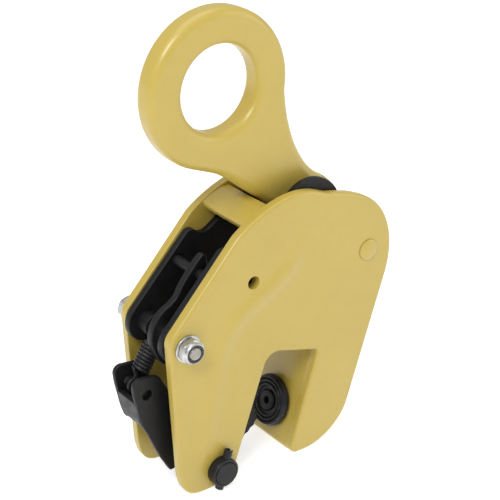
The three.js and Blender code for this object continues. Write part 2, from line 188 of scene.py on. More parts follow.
# ------------------------------------------------------------------ meshes
def mesh_from(name, verts, faces):
    me = bpy.data.meshes.new(name)
    me.from_pydata([tuple(v) for v in verts], [], [tuple(int(i) for i in f) for f in faces])
    me.validate()
    return me


def cap_mesh(bounds, grid):
    """Triangulates a flat face inside bounds[0] and outside the other loops, with points spread over it."""
    pts, edges, base = [], [], 0
    for loop in bounds:
        m = len(loop)
        pts.append(loop)
        edges += [(base + i, base + (i + 1) % m) for i in range(m)]
        base += m
    extra = []
    for loop in bounds:
        s = inset(loop, 0.45)
        keep = inside(s, bounds[0])
        for h in bounds[1:]:
            keep &= ~inside(s, h)
        extra.append(s[keep])
    if grid:
        lo, hi = bounds[0].min(0), bounds[0].max(0)
        gx, gz = np.arange(lo[0], hi[0], grid), np.arange(lo[1], hi[1], grid * 0.866)
        g = np.array([(x + (grid / 2 if j % 2 else 0), z) for j, z in enumerate(gz) for x in gx])
        keep = inside(g, bounds[0])
        for h in bounds[1:]:
            keep &= ~inside(g, h)
        g = g[keep]
        allb = np.concatenate(bounds)
        far_enough = np.array([np.min(np.sum((allb - p) ** 2, 1)) > (0.62 * grid) ** 2 for p in g])
        extra.append(g[far_enough])
    inner = np.concatenate(extra) if extra else np.zeros((0, 2))
    allp = np.concatenate(pts + [inner])
    out_v, _, tris, orig, _, _ = delaunay_2d_cdt([Vector(p) for p in allp], edges, [], 0, 1e-5)
    out_v = np.array([tuple(p) for p in out_v])
    cen = np.array([out_v[list(t)].mean(0) for t in tris])
    keep = inside(cen, bounds[0])
    for h in bounds[1:]:
        keep &= ~inside(cen, h)
    return out_v, [t for t, k in zip(tris, keep) if k], orig


def slab(outer, y0, y1, r, holes=(), rh=None, n=5, grid=0.0, near=None, far=None, soft=(1.0, 1.0)):
    """A profile in XZ with thickness y0..y1 and rounded edges, as (verts, faces). near and far give how far each face stands out at (x, z)."""
    rh = r if rh is None else rh
    loops = [(ccw(outer), r)] + [(ccw(h)[::-1].copy(), rh) for h in holes]
    verts, faces = [], []

    def add(loop, y):
        start = len(verts)
        verts.extend((p[0], y, p[1]) for p in loop)
        return np.arange(start, start + len(loop))

    caps = {0: [], 1: []}
    for loop, rr in loops:
        rings = []
        for side, k_range in ((0, range(n + 1)), (1, range(n, -1, -1))):
            for k in k_range:
                th = k / n * math.pi / 2
                d = rr * soft[side] * (1 - math.sin(th))
                off = rr * soft[side] * (1 - math.cos(th))
                ids = add(inset(loop, d), y0 + off if side == 0 else y1 - off)
                rings.append(ids)
                if k == 0:
                    caps[side].append(ids)
        for a, b in zip(rings, rings[1:]):
            a2, b2 = np.roll(a, -1), np.roll(b, -1)
            faces.extend(np.stack([a, b, b2, a2], 1).tolist())
    made = None
    for side in (0, 1):
        if made is None or soft[0] != soft[1]:
            made = cap_mesh([np.array([verts[i] for i in ids])[:, [0, 2]] for ids in caps[side]], grid)
        out_v, tris, orig = made
        ids_flat = np.concatenate(caps[side])
        index = {}
        for i in sorted({i for t in tris for i in t}):
            src = min(orig[i]) if len(orig[i]) else -1
            if 0 <= src < len(ids_flat):
                index[i] = int(ids_flat[src])
            else:
                index[i] = len(verts)
                verts.append((out_v[i][0], y0 if side == 0 else y1, out_v[i][1]))
        for t in tris:
            a, b, c = (index[i] for i in t)
            area = np.cross(out_v[t[1]] - out_v[t[0]], out_v[t[2]] - out_v[t[0]])
            if (area > 0) != (side == 0):
                b, c = c, b
            if len({a, b, c}) == 3:
                faces.append((a, b, c))
    v = np.array(verts, float)
    mid = (y0 + y1) / 2
    if near is not None:
        m = v[:, 1] < mid
        v[m, 1] -= near(v[m, 0], v[m, 2])
    if far is not None:
        m = v[:, 1] >= mid
        v[m, 1] += far(v[m, 0], v[m, 2])
    return v, faces


def turned(profile, n=72, deg=12.0):
    """Closed revolved piece about +Y through the origin. The profile is (radius, y) or (radius, y, corner radius), from the axis out and back to the axis, or a closed ring."""
    prof = []
    m = len(profile)
    closed = profile[0][0] > 1e-9
    for i, v in enumerate(profile):
        r = v[2] if len(v) > 2 else 0
        if not r or (not closed and i in (0, m - 1)):
            prof.append(np.array(v[:2], float))
            continue
        p = np.array(v[:2], float)
        a = unit(np.array(profile[i - 1][:2], float) - p)
        b = unit(np.array(profile[(i + 1) % m][:2], float) - p)
        half = math.acos(max(-1, min(1, float(a @ b)))) / 2
        if half > math.pi / 2 - 0.02:
            prof.append(p)
            continue
        t, d = r / math.tan(half), r / math.sin(half)
        c = p + unit(a + b) * d
        s, e = p + a * t - c, p + b * t - c
        a0, a1 = math.atan2(s[1], s[0]), math.atan2(e[1], e[0])
        da = (a1 - a0 + math.pi) % (2 * math.pi) - math.pi
        k2 = max(2, int(round(abs(math.degrees(da)) / deg)))
        for k in range(k2 + 1):
            q = a0 + da * k / k2
            prof.append(c + r * np.array([math.cos(q), math.sin(q)]))
    prof = np.array(prof)
    verts, faces = [], []
    q = np.arange(n) / n * 2 * math.pi
    rings = []
    for r, y in prof:
        if r < 1e-7:
            verts.append((0, y, 0))
            rings.append(np.array([len(verts) - 1] * n))
        else:
            s = len(verts)
            verts.extend((r * math.cos(a), y, r * math.sin(a)) for a in q)
            rings.append(np.arange(s, s + n))
    pairs = list(zip(rings, rings[1:]))
    if closed:
        pairs.append((rings[-1], rings[0]))
    for a, b in pairs:
        for i in range(n):
            j = (i + 1) % n
            f = [a[i], a[j], b[j], b[i]]
            g = []
            for x in f:
                if x not in g:
                    g.append(int(x))
            if len(g) > 2:
                faces.append(g)
    return np.array(verts, float), faces


def shifted(vf, c=(0, 0), y=0.0):
    v, f = vf
    v = v.copy()
    v[:, 0] += c[0]
    v[:, 2] += c[1]
    v[:, 1] += y
    return v, f


def turned_y(profile, c, n=72, deg=12.0):
    return shifted(turned(profile, n, deg), c)


def hexagon(c, af, y0, y1, chamfer=1.0, ends=(True, True), hole=0.0, turn=0.0, n=120, dome=None):
    """Hexagon bar piece with turned ends."""
    q = np.arange(n) / n * 2 * math.pi
    rh = (af / 2) / np.cos((q - turn) % (math.pi / 3) - math.pi / 6)
    rh = np.minimum(rh, af / 2 * 1.125)
    rows = []
    r_in = hole
    flat = af / 2 * 0.94
    ys = [(y0, flat)]
    for k in range(1, 7):
        f = k / 6
        ys.append((y0 + chamfer * f, flat + (af / 2 * 1.16 - flat) * f**0.8))
    for k in range(6, 0, -1):
        f = k / 6
        ys.append((y1 - chamfer * f, flat + (af / 2 * 1.16 - flat) * f**0.8))
    ys.append((y1, flat))
    verts, faces, rings = [], [], []
    def ring(radii, y):
        s = len(verts)
        verts.extend((r * math.cos(a), y, r * math.sin(a)) for r, a in zip(radii, q))
        rings.append(np.arange(s, s + n))
    if r_in:
        ring(np.full(n, r_in), y0 + 0.4)
        ring(np.full(n, r_in + 0.4), y0)
    for y, cap in ys:
        ring(np.minimum(rh, cap), y)
    if r_in:
        ring(np.full(n, r_in + 0.4), y1)
        ring(np.full(n, r_in), y1 - 0.4)
    pairs = list(zip(rings, rings[1:]))
    if r_in:
        pairs.append((rings[-1], rings[0]))
    for a, b in pairs:
        a2, b2 = np.roll(a, -1), np.roll(b, -1)
        faces.extend(np.stack([a, a2, b2, b], 1).tolist())
    if not r_in:
        for ids, flip in ((rings[0], False), (rings[-1], True)):
            y = verts[ids[0]][1]
            verts.append((0, y, 0))
            cidx = len(verts) - 1
            for i in range(n):
                j = (i + 1) % n
                faces.append((cidx, int(ids[j]), int(ids[i])) if not flip else (cidx, int(ids[i]), int(ids[j])))
    return shifted((np.array(verts, float), faces), c)


def sweep(points, radius, sides=14, taper=None):
    """Round wire along a polyline, with domed ends."""
    p = np.array(points, float)
    t = np.gradient(p, axis=0)
    t = unit(t)
    u = np.cross(t[0], (0, 0, 1.0))
    if np.linalg.norm(u) < 1e-3:
        u = np.cross(t[0], (1.0, 0, 0))
    u = unit(u)
    frames = []
    for i in range(len(p)):
        u = unit(u - t[i] * float(u @ t[i]))
        frames.append((u, np.cross(t[i], u)))
    verts, faces, rings = [], [], []
    q = np.arange(sides) / sides * 2 * math.pi
    def ring(c, uu, ww, r):
        s = len(verts)
        verts.extend(c + uu * (r * math.cos(a)) + ww * (r * math.sin(a)) for a in q)
        rings.append(np.arange(s, s + sides))
    for k in (3, 2, 1):
        th = k / 4 * math.pi / 2
        ring(p[0] - t[0] * radius * 0.6 * math.sin(th), *frames[0], radius * math.cos(th))
    for i in range(len(p)):
        r = radius if taper is None else radius * taper(i / (len(p) - 1))
        ring(p[i], *frames[i], r)
    for k in (1, 2, 3):
        th = k / 4 * math.pi / 2
        ring(p[-1] + t[-1] * radius * 0.6 * math.sin(th), *frames[-1], radius * math.cos(th))
    for a, b in zip(rings, rings[1:]):
        a2, b2 = np.roll(a, -1), np.roll(b, -1)
        faces.extend(np.stack([a, a2, b2, b], 1).tolist())
    for ids, d, flip in ((rings[0], -1, True), (rings[-1], 1, False)):
        c = np.mean([verts[i] for i in ids], 0) + (t[0] if flip else t[-1]) * d * radius * 0.05
        verts.append(c)
        m = len(verts) - 1
        for i in range(sides):
            j = (i + 1) % sides
            faces.append((m, int(ids[j]), int(ids[i])) if flip else (m, int(ids[i]), int(ids[j])))
    return np.array(verts, float), faces


def along(vf, origin, direction, side=(0.0, 1.0, 0.0)):
    """Turns a piece built about +Y so that its axis runs along direction from origin."""
    v, f = vf
    d = unit(np.array(direction, float))
    s = np.array(side, float)
    s = unit(s - d * float(s @ d))
    w = np.cross(s, d)
    m = np.stack([s, d, w], 1)
    return v @ m.T + np.array(origin, float), f


def joined(*parts):
    verts, faces, base = [], [], 0
    for v, f in parts:
        verts.append(np.asarray(v))
        faces += [[int(i) + base for i in x] for x in f]
        base += len(v)
    return np.concatenate(verts), faces


def object_of(name, vf):
    v, f = vf
    me = mesh_from(name, (np.asarray(v) + SHIFT) / 1000.0, f)
    ob = bpy.data.objects.new(name, me)
    scene.collection.objects.link(ob)
    bm = bmesh.new()
    bm.from_mesh(me)
    bmesh.ops.remove_doubles(bm, verts=bm.verts, dist=2e-6)
    bmesh.ops.dissolve_degenerate(bm, edges=bm.edges, dist=1e-6)
    bmesh.ops.recalc_face_normals(bm, faces=bm.faces)
    bm.to_mesh(me)
    bm.free()
    return ob


def boolean(ob, tools, op="DIFFERENCE"):
    for k, vf in enumerate(tools):
        tool = object_of(ob.name + "_tool", vf)
        mod = ob.modifiers.new("b", "BOOLEAN")
        mod.operation, mod.solver, mod.object = op, "EXACT", tool
        bpy.context.view_layer.update()
        dg = bpy.context.evaluated_depsgraph_get()
        me = bpy.data.meshes.new_from_object(ob.evaluated_get(dg))
        ob.modifiers.clear()
        old = ob.data
        ob.data = me
        bpy.data.meshes.remove(old)
        td = tool.data
        bpy.data.objects.remove(tool)
        bpy.data.meshes.remove(td)
    bm = bmesh.new()
    bm.from_mesh(ob.data)
    bmesh.ops.remove_doubles(bm, verts=bm.verts, dist=2e-6)
    bmesh.ops.dissolve_degenerate(bm, edges=bm.edges, dist=1e-6)
    bm.to_mesh(ob.data)
    bm.free()
    return ob


def finish_piece(ob, mat, body, nodes=(), angle=32.0):
    me = ob.data
    me.materials.clear()
    me.materials.append(mat)
    me.shade_smooth()
    me.set_sharp_from_angle(angle=math.radians(angle))
    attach(ob, body)
    if nodes:
        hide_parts(*nodes)
    return ob


def piece(name, vf, mat, node=None, body=None, tools=(), angle=32.0, nodes=()):
    ob = object_of(name, vf)
    if tools:
        boolean(ob, tools)
    nodes = list(nodes) or ([node] if node else [])
    return finish_piece(ob, mat, body or body_of_node[nodes[0]], nodes, angle)


# ------------------------------------------------------------------ materials
def new_mat(name):
    m = bpy.data.materials.new(name)
    m.use_nodes = True
    nt = m.node_tree
    return m, nt, nt.nodes["Principled BSDF"]


def noise(nt, co, scale, detail=3.0, rough=0.5):
    n = nt.nodes.new("ShaderNodeTexNoise")
    n.inputs["Scale"].default_value = scale
    n.inputs["Detail"].default_value = detail
    n.inputs["Roughness"].default_value = rough
    nt.links.new(co, n.inputs["Vector"])
    return n.outputs["Fac"]


def ramp(nt, fac, stops):
    r = nt.nodes.new("ShaderNodeValToRGB")
    e = r.color_ramp.elements
    while len(e) < len(stops):
        e.new(0.5)
    for el, (pos, col) in zip(e, stops):
        el.position = pos
        el.color = (*col, 1) if len(col) == 3 else col
    nt.links.new(fac, r.inputs["Fac"])
    return r.outputs["Color"]


def math_node(nt, op, a, b):
    n = nt.nodes.new("ShaderNodeMath")
    n.operation = op
    for i, x in enumerate((a, b)):
        if isinstance(x, (int, float)):
            n.inputs[i].default_value = x
        else:
            nt.links.new(x, n.inputs[i])
    return n.outputs[0]


def map_range(nt, x, a, b, c, d):
    n = nt.nodes.new("ShaderNodeMapRange")
    n.inputs["From Min"].default_value = a
    n.inputs["From Max"].default_value = b
    n.inputs["To Min"].default_value = c
    n.inputs["To Max"].default_value = d
    nt.links.new(x, n.inputs["Value"])
    return n.outputs["Result"]


def mix_color(nt, fac, a, b, mode="MIX"):
    n = nt.nodes.new("ShaderNodeMix")
    n.data_type = "RGBA"
    n.blend_type = mode
    for sock, x in ((n.inputs["Factor"], fac), (n.inputs["A"], a), (n.inputs["B"], b)):
        pass
    f = [s for s in n.inputs if s.name == "Factor" and s.type == "VALUE"][0]
    ca = [s for s in n.inputs if s.name == "A" and s.type == "RGBA"][0]
    cb = [s for s in n.inputs if s.name == "B" and s.type == "RGBA"][0]
    for sock, x in ((f, fac), (ca, a), (cb, b)):
        if isinstance(x, (int, float)):
            sock.default_value = x
        elif isinstance(x, tuple):
            sock.default_value = (*x, 1) if len(x) == 3 else x
        else:
            nt.links.new(x, sock)
    return [s for s in n.outputs if s.type == "RGBA"][0]


def bump(nt, height, strength, distance, prev=None):
    n = nt.nodes.new("ShaderNodeBump")
    n.inputs["Strength"].default_value = strength
    n.inputs["Distance"].default_value = distance
    nt.links.new(height, n.inputs["Height"])
    if prev is not None:
        nt.links.new(prev, n.inputs["Normal"])
    return n.outputs["Normal"]


def coords(nt):
    return nt.nodes.new("ShaderNodeTexCoord").outputs["Object"]


def pointiness(nt):
    return nt.nodes.new("ShaderNodeNewGeometry").outputs["Pointiness"]


def paint(name, base, light, dark, rough, lumps, peel):
    """Sprayed enamel over forged or cut steel: slow colour drift, orange peel, thin paint along the edges, and painted
    shade darkening the concave corners.
    """
    m, nt, p = new_mat(name)
    co = coords(nt)
    slow = noise(nt, co, 14, 3, 0.55)
    mid = noise(nt, co, 90, 4, 0.6)
    col = ramp(nt, slow, [(0.3, dark), (0.52, base), (0.72, light)])
    speck = ramp(nt, mid, [(0.36, tuple(x * 0.965 for x in base)), (0.5, base), (0.66, tuple(min(1, x * 1.03) for x in base))])
    col = mix_color(nt, 0.4, col, speck)
    edge = map_range(nt, pointiness(nt), 0.515, 0.60, 0.0, 1.0)
    scuff = ramp(nt, noise(nt, co, 160, 4, 0.65), [(0.46, (0, 0, 0)), (0.62, (1, 1, 1))])
    wear = math_node(nt, "MULTIPLY", math_node(nt, "MULTIPLY", edge, scuff), 0.30)
    col = mix_color(nt, wear, col, tuple(min(1.0, x * 1.12 + 0.03) for x in light))
    # painted shade: concave corners and hollows are darkened toward a deep tone of the paint colour, standing in for
    # the shade that falls there
    painted_hollow_shade = map_range(nt, pointiness(nt), 0.485, 0.43, 0.0, 0.35)
    col = mix_color(nt, painted_hollow_shade, col, tuple(x * 0.55 for x in dark))
    nt.links.new(col, p.inputs["Base Color"])
    nt.links.new(map_range(nt, noise(nt, co, 60, 4, 0.6), 0.3, 0.7, rough - 0.05, rough + 0.07), p.inputs["Roughness"])
    p.inputs["Specular IOR Level"].default_value = 0.5
    p.inputs["Coat Weight"].default_value = 0.30
    p.inputs["Coat Roughness"].default_value = 0.22
    n1 = bump(nt, noise(nt, co, 55, 2, 0.4), lumps, 0.0012)
    n2 = bump(nt, noise(nt, co, 420, 2, 0.45), peel, 0.00018, n1)
    nt.links.new(n2, p.inputs["Normal"])
    return m


def blacked(name, tone, rough, grain, metallic=0.35):
    """Black oxide on machined or cut steel, lightly oiled."""
    m, nt, p = new_mat(name)
    co = coords(nt)
    base = (tone * 0.95, tone * 0.98, tone * 1.13)
    col = ramp(nt, noise(nt, co, 70, 5, 0.6), [(0.3, tuple(x * 0.72 for x in base)), (0.5, base), (0.72, tuple(x * 1.35 for x in base))])
    edge = map_range(nt, pointiness(nt), 0.52, 0.60, 0.0, 1.0)
    scuff = ramp(nt, noise(nt, co, 240, 4, 0.7), [(0.44, (0, 0, 0)), (0.66, (1, 1, 1))])
    wear = math_node(nt, "MULTIPLY", math_node(nt, "MULTIPLY", edge, scuff), 0.55)
    col = mix_color(nt, wear, col, (0.12, 0.122, 0.13))
    nt.links.new(col, p.inputs["Base Color"])
    nt.links.new(map_range(nt, noise(nt, co, 130, 4, 0.65), 0.3, 0.7, rough - 0.08, rough + 0.10), p.inputs["Roughness"])
    p.inputs["Metallic"].default_value = metallic
    p.inputs["Specular IOR Level"].default_value = 0.30
    n1 = bump(nt, noise(nt, co, 900, 3, 0.6), grain, 0.00008)
    n2 = bump(nt, noise(nt, co, 120, 2, 0.5), grain * 0.6, 0.0003, n1)
    nt.links.new(n2, p.inputs["Normal"])
    return m


def zinc(name, k=(1.0, 1.0, 1.0)):
    m, nt, p = new_mat(name)
    co = coords(nt)
    tones = [(0.3, (0.40, 0.41, 0.42)), (0.5, (0.52, 0.53, 0.54)), (0.7, (0.62, 0.62, 0.61))]
    col = ramp(nt, noise(nt, co, 160, 5, 0.6), [(t, tuple(a * b for a, b in zip(c, k))) for t, c in tones])
    nt.links.new(col, p.inputs["Base Color"])
    nt.links.new(map_range(nt, noise(nt, co, 380, 4, 0.6), 0.3, 0.7, 0.26, 0.42), p.inputs["Roughness"])
    p.inputs["Metallic"].default_value = 0.92
    nt.links.new(bump(nt, noise(nt, co, 1500, 3, 0.6), 0.25, 0.00005), p.inputs["Normal"])
    return m


def nylon(name):
    m, nt, p = new_mat(name)
    co = coords(nt)
    nt.links.new(ramp(nt, noise(nt, co, 500, 3, 0.5), [(0.3, (0.016, 0.021, 0.032)), (0.7, (0.030, 0.038, 0.055))]), p.inputs["Base Color"])
    nt.links.new(map_range(nt, noise(nt, co, 700, 3, 0.5), 0.3, 0.7, 0.42, 0.55), p.inputs["Roughness"])
    nt.links.new(bump(nt, noise(nt, co, 1800, 2, 0.5), 0.2, 0.00005), p.inputs["Normal"])
    return m


YEL = (0.458, 0.341, 0.062)
YELLOW = paint("enamel_plate", YEL, (0.480, 0.360, 0.069), (0.432, 0.319, 0.055), 0.36, 0.10, 0.16)
FORGED = paint("enamel_forged", YEL, (0.480, 0.360, 0.069), (0.428, 0.315, 0.054), 0.38, 0.22, 0.16)
WELD = paint("enamel_weld", tuple(x * 0.97 for x in YEL), (0.470, 0.352, 0.076), (0.420, 0.310, 0.060), 0.36, 0.35, 0.22)
BLACK = blacked("oxide_plate", 0.0065, 0.47, 0.35, 0.05)
BLACKT = blacked("oxide_turned", 0.011, 0.42, 0.22, 0.1)
BLACKC = blacked("oxide_cast", 0.009, 0.54, 0.60, 0.05)
SPRING = blacked("oxide_spring", 0.018, 0.38, 0.15, 0.3)
ZINC = zinc("zinc_plate")
BOLT = zinc("zinc_bolt", (0.62, 0.58, 0.50))
NYLON = nylon("nylon")


# ------------------------------------------------------------------ side plates
plate_outline = outline(up([
    (-82.9, 24), (-82.2, 17), (-80.9, 11.4), (-79, 6.3), (-76.2, 2.4), (-72.2, -0.4), (-67, -1.9), (-61, -2.2),
    (-46, -2.2), (-41.2, -0.6), (-37, 2.6), (-34.2, 6.6),
    (-3.1, 95.9, 11), (43.7, 82.5, 3.5), (17.3, -2.2, 6),
    (35, -2.2), (42, -1), (49.5, 1.6), (57.5, 5.9), (65, 12.2), (71, 19.6), (74.9, 28.2),
    (108.3, 129), (110.6, 138.5), (111.6, 148), (111.3, 157.2), (109.6, 166.5), (106.2, 175.7), (101.1, 184.1),
    (94.6, 191.1), (86.3, 197), (78.1, 200.8), (71, 203.5), (63, 205.6), (56.4, 207.2),
    (50, 208.4), (43.5, 210.9), (37, 213.2), (29, 214.9), (19.5, 215.3), (10.6, 214.3), (1.8, 212.1), (-6, 209.3),
    (-15.5, 204.9), (-25, 199.4), (-33.5, 192.8),
    (-89.7, 131.3, 12),
]))
plate_outline[:, 1] = np.maximum(plate_outline[:, 1], 0.0)
HOLE = (-17.8, 157 + LIFT)
plate_holes = [circle(K, 9.3, 72), circle(B, 5.4, 48), circle(HOLE, 4.9, 48), circle(RV, 6.3, 48)]

# A low crest runs up the leg and on towards the ring pin, where the plate was pressed.
CREST = np.array([(-63.0, 14.0), (-60.0, 46.0), (-54.5, 71.0), (-50.0, 96.0), (-46.0, 111.0), (-40.5, 124.0), (-33.0, 133.0), (-23.5, 140.0), (-9.5, 147.0),
                  (2.5, 153.5), (11.5, 160.5), (19.0, 168.5), (25.5, 178.0), (31.0, 190.0)])


def crest_height(x, z):
    p = np.stack([x, z], 1)
    best = np.full(len(p), 1e9)
    where = np.zeros(len(p))
    total = 0.0
    lens = np.linalg.norm(np.diff(CREST, axis=0), axis=1)
    whole = lens.sum()
    for a, b, ln in zip(CREST, CREST[1:], lens):
        d = b - a
        t = np.clip(((p - a) @ d) / (d @ d), 0, 1)
        dist = np.linalg.norm(p - (a + t[:, None] * d), axis=1)
        m = dist < best
        best[m] = dist[m]
        where[m] = (total + t[m] * ln) / whole
        total += ln
    fade = np.clip(where / 0.18, 0, 1) * np.clip((1 - where) / 0.2, 0, 1)
    fade = fade * fade * (3 - 2 * fade)
    wide = 7.0
    edge = np.min(np.linalg.norm(plate_outline[None, ::3] - p[:, None], axis=2), axis=1)
    rim = np.clip((edge - 3.0) / 9.0, 0, 1)
    rim = rim * rim * (3 - 2 * rim)
    low = np.clip((z - 85.0) / 50.0, 0, 1)
    return (1.5 + 1.3 * low) * fade * rim * np.exp(-((best / wide) ** 2))


for side, y0, y1 in (("near", -OUTER, -INNER), ("far", INNER, OUTER)):
    vf = slab(plate_outline, y0, y1, 2.6, plate_holes, 0.5, n=6, grid=3.2, soft=(1.0, 0.3) if side == "near" else (0.3, 1.0),
              near=crest_height if side == "near" else None, far=crest_height if side == "far" else None)
    piece("plate_" + side, vf, YELLOW, "side_plate_" + side)

# ------------------------------------------------------------------ cross members
bridge_outline = outline(up([
    (-22.9, 200.0, 3.0), (-17.8, 193, 3.5), (2.5, 195.6, 3.5), (7.6, 203.2, 1.8), (1.6, 208.3, 2.5), (-5.2, 208.3, 8), (-13.5, 205.2, 14),
]))
piece("bridge_bar", slab(bridge_outline, -INNER - 0.5, INNER + 0.5, 0.8, n=4, grid=3.0), FORGED, "bridge")

lean = math.radians(17.3)
wall_dir = np.array([math.sin(lean), 0, math.cos(lean)])
wall_n = np.array([-wall_dir[2], 0, wall_dir[0]])
PAD = np.array([28.0, 0.0, 28.5 + LIFT])
jaw_outline = outline(up([
    (-2.6, 97.6, 6), (44.3, 84.2, 2.5), (18.2, -2.0, 4.5), (36, -2.0, 5), (49.5, 3.4, 6), (56, 15.4, 5),
    (74.5, 90.5, 12), (56, 100, 6), (6, 112.6, 5),
]))


def on_wall(vf):
    return along(vf, PAD, wall_n)


piece("jaw_casting", slab(jaw_outline, -INNER - 0.4, INNER + 0.4, 1.2, n=4, grid=5.0), FORGED, "jaw_block",
      tools=[on_wall(turned([(0, -60), (13, -60), (13, -19), (6.3, -19), (6.3, 5), (0, 5)], 72))])

piece("spacer", turned_y([(6.4, -INNER + 0.3), (10, -INNER + 0.3, 0.6), (10, INNER - 0.3, 0.6), (6.4, INNER - 0.3)], RV, 64),
      YELLOW, "rivet_spacer")
piece("rivet_head", turned_y([
    (0, -35.3), (3.2, -35.15, 6), (6.2, -34.5, 3), (8.0, -33.7, 1), (8.6, -33.1, 0.15), (6.1, -33.05), (6.1, 33.05), (8.6, 33.1, 0.15),
    (8.0, 33.7, 1), (6.2, 34.5, 3), (3.2, 35.15, 6), (0, 35.3)], RV, 64), YELLOW, "rivet")

# ------------------------------------------------------------------ lifting eye
ring_outline = outline([
    *arc(C, 57.3, -8, 236, 122),
    *up([(-52.6, 242.6), (-45, 239.6), (-37.3, 236.6), (-30.2, 233.6), (-24.3, 230), (-18.3, 225.8), (-10.6, 219.6),
         (-1.9, 212.6), (6.1, 206.3), (11.2, 202.2)]),
    *arc(R0, 28, 167, 388, 98),
    *up([(63.6, 210.6), (58.8, 214.2), (53.4, 219), (48.3, 224.6), (44.2, 230.6), (40.4, 237.2), (37, 244.2),
         (34.3, 251.8), (32, 259.7), (30.1, 268.2), (28.8, 277.2)]),
], step=1.5)
piece("eye_forging", slab(ring_outline, -10, 10, 6.6, [circle((C[0] + 0.6, C[1] + 0.6), 31.2, 128), circle(R0, 9.2, 64)], 6.2, n=9, grid=3.4),
      FORGED, "lifting_ring")

# ------------------------------------------------------------------ rocker
arm_outline = outline([
    *arc(B, 16, 137, 276, 34),
    *up([(-50, 113.6, 30), (-26, 119.2, 12), (-5, 118.4, 10), (22, 164.5, 30)]),
    *arc((R0[0] - 1.9, R0[1]), 27, -70, 160, 64),
    *up([(8.5, 190.6, 8), (-7.5, 189.8, 9), (-26, 177.4, 9), (-36.6, 186.8, 6)]),
], step=1.5)
slot_dir = np.array([0.42, 0.9075])


def slot_hole(c, r, half):
    a = math.degrees(math.atan2(slot_dir[1], slot_dir[0]))
    p = (c[0] + slot_dir[0] * half, c[1] + slot_dir[1] * half)
    q = (c[0] - slot_dir[0] * half, c[1] - slot_dir[1] * half)
    return np.array([*arc(p, r, a - 90, a + 90, 24), *arc(q, r, a + 90, a + 270, 24)])


for side, y0, y1 in (("near", -24.2, -18.4), ("far", 18.4, 24.2)):
    vf = slab(arm_outline, y0, y1, 1.0, [circle(B, 5.35, 48), circle(R0, 9.2, 64), slot_hole(L2, 5.8, 1.6), circle(X0, 4.2, 40)], 0.4, n=4, grid=6.0)
    arm = object_of("arm_plate_" + side, vf)
    if side == "far":
        boolean(arm, [turned_y([(5.35, 8, 0.3), (8.4, 8, 0.9), (8.4, 19, 0.2), (5.35, 19, 0.2)], B, 72)], "UNION")
    finish_piece(arm, BLACK, body=body_of_node["arm_" + side], nodes=["arm_" + side])
crank_outline = outline([
    *up([(-88, 133.3), (-89.8, 127), (-89.6, 119), (-87.2, 112), (-83.4, 104.6), (-77.4, 99.8), (-70.4, 99),
         (-63.4, 102.8), (-58.8, 110.4), (-57.2, 120.5), (-53, 136, 12), (-41.5, 158, 8), (-41.5, 170, 8), (-42.8, 181, 3),
         (-50.4, 174.2, 3), (-57.6, 166), (-63.4, 158.6), (-68, 150.8, 6), (-72.8, 147), (-78.6, 144), (-84.4, 138.9)]),
], step=1.5)
piece("crank", slab(crank_outline, -10, -4, 1.1, [circle(B, 7.8, 56), circle(X0, 4.2, 40)], 0.4, n=4, grid=6.0), BLACK, "rocker_crank")
piece("cross_pin", turned_y([(0, -24.1), (4, -24.1, 0.6), (4, 24.1, 0.6), (0, 24.1)], X0, 48), BLACKT, "rocker_cross_pin")
piece("ring_pin_body", turned_y([(0, -24.1), (9, -24.1, 1.0), (9, 24.1, 1.0), (0, 24.1)], R0, 72), BLACKT, "ring_pin")
for side, s in (("near", -1), ("far", 1)):
    ys = sorted((s * 18.1, s * 10.4))
    piece("eye_washer_" + side, turned_y([(9.35, ys[0], 0.3), (15, ys[0], 0.7), (15, ys[1], 0.7), (9.35, ys[1], 0.3)], R0, 72), BLACKT, "ring_washer_" + side)
    ys = sorted((s * 24.4, s * 10.6))
    piece("cam_spacer_" + side, turned_y([(9.4, ys[0], 0.3), (13, ys[0], 0.8), (13, ys[1], 0.8), (9.4, ys[1], 0.3)], K, 64), BLACKT, "cam_washer_" + side)

# ------------------------------------------------------------------ pivot bolt set
def threaded(r, y0, y1, pitch, depth, c, n=64, cap0=0.7, cap1=0.7, smooth_from=None):
    """Rod with a real helical thread between y0 and smooth_from."""
    per = 8
    stop = y1 if smooth_from is None else smooth_from
    ys = list(np.arange(y0 + cap0, stop, pitch / per)) + ([] if smooth_from is None else list(np.linspace(stop, y1 - cap1, 4)))
    verts, rings = [], []
    q = np.arange(n) / n * 2 * math.pi
    verts.append((0, y0, 0))
    first = 0
    def ring(radii, y):
        s = len(verts)
        verts.extend((rr * math.cos(a), y, rr * math.sin(a)) for rr, a in zip(radii, q))
        rings.append(np.arange(s, s + n))
    ring(np.full(n, r - cap0), y0)
    for y in ys:
        if y < stop - 1e-6:
            ph = (y / pitch + q / (2 * math.pi)) % 1.0
            cut = np.clip(1 - np.abs(ph - 0.5) * 2.2, 0, 1) * depth
            fade = min(1.0, (stop - y) / pitch, (y - y0) / (pitch * 0.6) + 0.1)
            ring(r - cut * fade, y)
        else:
            ring(np.full(n, r), y)
    ring(np.full(n, r - cap1), y1)
    verts.append((0, y1, 0))
    last = len(verts) - 1
    faces = []
    for a, b in zip(rings, rings[1:]):
        faces.extend(np.stack([a, np.roll(a, -1), np.roll(b, -1), b], 1).tolist())
    for i in range(n):
        j = (i + 1) % n
        faces.append((first, int(rings[0][j]), int(rings[0][i])))
        faces.append((last, int(rings[-1][i]), int(rings[-1][j])))
    return shifted((np.array(verts, float), faces), c)


